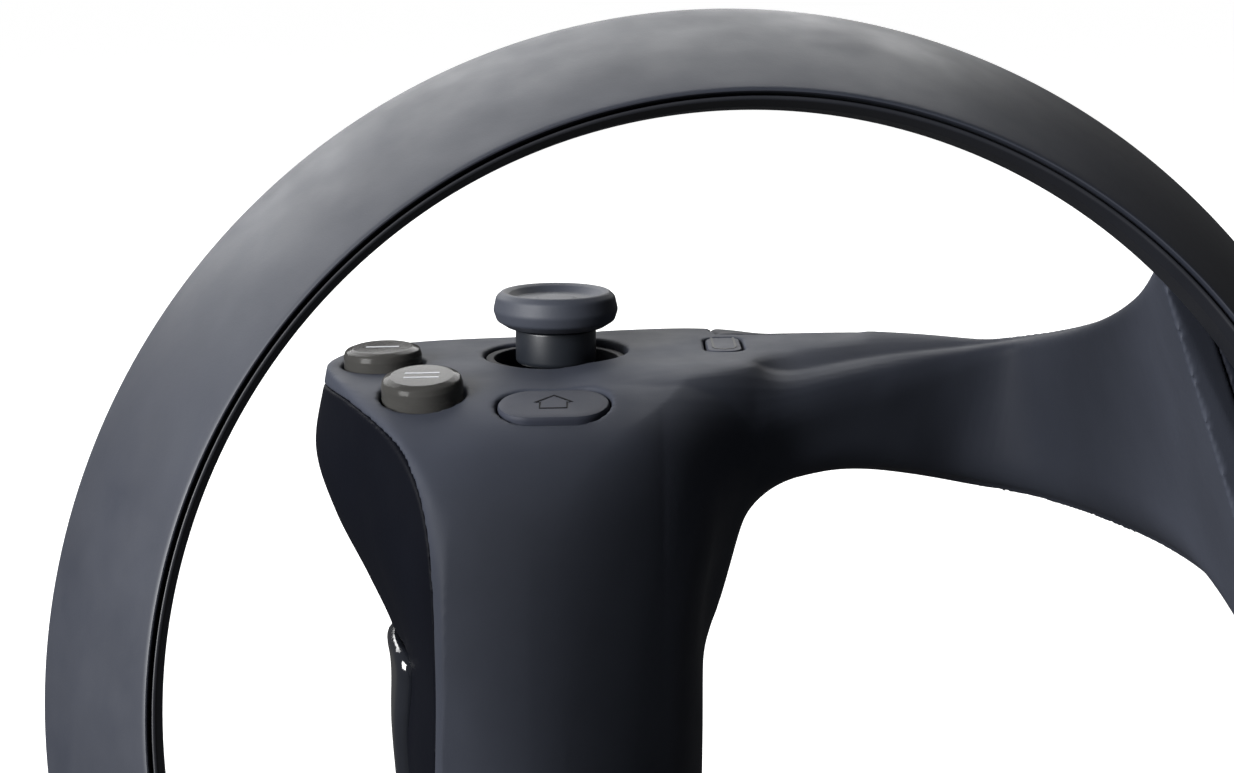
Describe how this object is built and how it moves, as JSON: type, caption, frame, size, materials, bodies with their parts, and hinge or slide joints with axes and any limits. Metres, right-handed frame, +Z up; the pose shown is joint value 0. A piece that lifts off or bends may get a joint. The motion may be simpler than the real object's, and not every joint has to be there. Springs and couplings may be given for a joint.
{
  "type": "vr motion controller",
  "caption": "Right-hand VR motion controller: a grip with a thumbstick, clear face buttons, trigger and side finger button, joined by a broad arm to a round tracking ring.",
  "frame": {"origin": "centre of the bounding box's footprint, on the surface the controller stands on", "axes": "+Z up along the grip, +X to the right towards the arm, +Y away from the user"},
  "size_m": [0.136, 0.1342, 0.132],
  "materials": {
    "shell": "fine moulded texture, matte",
    "front_shell": "fine moulded texture, matte, darker",
    "ring_window": "satin, lets infrared light through",
    "gloss_black": "polished",
    "clear": "smoky clear acrylic",
    "glyph_plate": "satin",
    "frame": "glass-filled, matte",
    "steel": "plain",
    "brass": "machined",
    "circuit_board": "solder mask",
    "chip": "moulded",
    "silicone": "matte",
    "flex": "polyimide film",
    "cell_wrap": "shrink wrap"
  },
  "bodies": {
    "controller_body": {"ring_cover": "ring_window", "ring_inner_shell": "front_shell", "ring_light_strip": "flex", "rear_shell": "shell", "front_shell": "front_shell", "arm_outer_cover": "front_shell", "grip_end_cap": "front_shell", "strap_pin": "steel", "stick_surround": "front_shell", "stick_housing": "steel", "stick_sensor_x": "chip", "stick_sensor_y": "chip", "stick_click_switch": "chip", "main_board": "circuit_board", "main_processor": "chip", "radio_module": "steel", "home_switch": "chip", "button_board": "circuit_board", "dome_far": "silicone", "dome_near": "silicone", "options_board": "circuit_board", "options_switch": "chip", "mid_frame": "frame", "case_screw_upper": "steel", "case_screw_lower": "steel", "trigger_axle": "steel", "trigger_frame": "frame", "trigger_spring": "steel", "worm_wheel_axle": "steel", "force_motor": "steel", "grip_button_pin": "steel", "grip_button_bracket": "frame", "grip_button_switch": "chip", "battery": "cell_wrap", "battery_tray": "frame", "haptic_case": "steel", "haptic_spring": "steel", "finger_sensor_film": "flex", "usb_port": "steel", "usb_board": "circuit_board", "arm_flex_cable": "flex"},
    "yoke_lower": {"stick_yoke_lower": "glyph_plate"},
    "yoke_upper": {"stick_yoke_upper": "glyph_plate"},
    "stick_cross": {"stick_pin": "steel"},
    "stick": {"stick_cap": "shell", "stick_shaft": "front_shell"},
    "far_button": {"button_far": "clear", "button_far_plate": "glyph_plate"},
    "near_button": {"button_near": "clear", "button_near_plate": "glyph_plate"},
    "home": {"home_button": "gloss_black"},
    "options": {"options_button": "front_shell"},
    "trigger_lever": {"trigger": "front_shell"},
    "feedback_wheel": {"worm_wheel": "brass"},
    "feedback_worm": {"motor_worm": "brass"},
    "side_button": {"grip_button": "gloss_black"},
    "haptic_weight": {"haptic_mass": "brass"}
  },
  "joints": [
    {"name": "stick_tilt_x", "type": "hinge", "parent": "controller_body", "child": "yoke_lower", "pos_m": [-0.02109, 0.04173, 0.07601], "axis": [1, 0, 0], "range_deg": [-11, 11], "stiffness_Nm_per_rad": 0.03},
    {"name": "stick_tilt_y", "type": "hinge", "parent": "yoke_lower", "child": "stick_cross", "pos_m": [-0.02109, 0.04173, 0.07601], "axis": [0, 1, 0], "range_deg": [-11, 11], "stiffness_Nm_per_rad": 0.03},
    {"name": "upper_yoke_turn", "type": "hinge", "parent": "controller_body", "child": "yoke_upper", "pos_m": [-0.02109, 0.04173, 0.07601], "axis": [0, 1, 0], "range_deg": [-11, 11]},
    {"name": "stick_press", "type": "slide", "parent": "stick_cross", "child": "stick", "axis": [0, 0, -1], "range_m": [0, 0.0003], "stiffness_N_per_m": 1500},
    {"name": "far_press", "type": "slide", "parent": "controller_body", "child": "far_button", "axis": [0.0209, 0.0419, -0.9989], "range_m": [0, 0.0012], "stiffness_N_per_m": 800, "deforming": ["dome_far"]},
    {"name": "near_press", "type": "slide", "parent": "controller_body", "child": "near_button", "axis": [0.0209, 0.1391, -0.9901], "range_m": [0, 0.0012], "stiffness_N_per_m": 800, "deforming": ["dome_near"]},
    {"name": "home_press", "type": "slide", "parent": "controller_body", "child": "home", "axis": [0.0209, 0.2079, -0.9779], "range_m": [0, 0.0003], "stiffness_N_per_m": 1500},
    {"name": "options_press", "type": "slide", "parent": "controller_body", "child": "options", "axis": [0.0209, 0, -0.9998], "range_m": [0, 0.0005], "stiffness_N_per_m": 1200},
    {"name": "trigger_pull", "type": "hinge", "parent": "controller_body", "child": "trigger_lever", "pos_m": [-0.02109, 0.05263, 0.07301], "axis": [-1, 0, 0], "range_deg": [0, 18], "stiffness_Nm_per_rad": 0.1, "springref_deg": -8.59},
    {"name": "worm_wheel_turn", "type": "hinge", "parent": "controller_body", "child": "feedback_wheel", "pos_m": [-0.01709, 0.04523, 0.06301], "axis": [-1, 0, 0], "range_deg": [-45, 0]},
    {"name": "motor_worm_spin", "type": "hinge", "parent": "controller_body", "child": "feedback_worm", "pos_m": [-0.01709, 0.03943, 0.06301], "axis": [0, 0, 1], "range_deg": [-720, 720]},
    {"name": "grip_button_press", "type": "hinge", "parent": "controller_body", "child": "side_button", "pos_m": [-0.03649, 0.02873, 0.04651], "axis": [-0.3659, -0.9307, 0], "range_deg": [0, 2.5], "stiffness_Nm_per_rad": 0.08, "springref_deg": -5.73},
    {"name": "haptic_slide", "type": "slide", "parent": "controller_body", "child": "haptic_weight", "axis": [0, 0, 1], "range_m": [-0.0004, 0.0004], "stiffness_N_per_m": 1250, "deforming": ["haptic_spring"]}
  ],
  "couplings": [
    {"joint": "upper_yoke_turn", "follows": "stick_tilt_y", "ratio": 1},
    {"joint": "motor_worm_spin", "follows": "worm_wheel_turn", "ratio": 16}
  ]
}
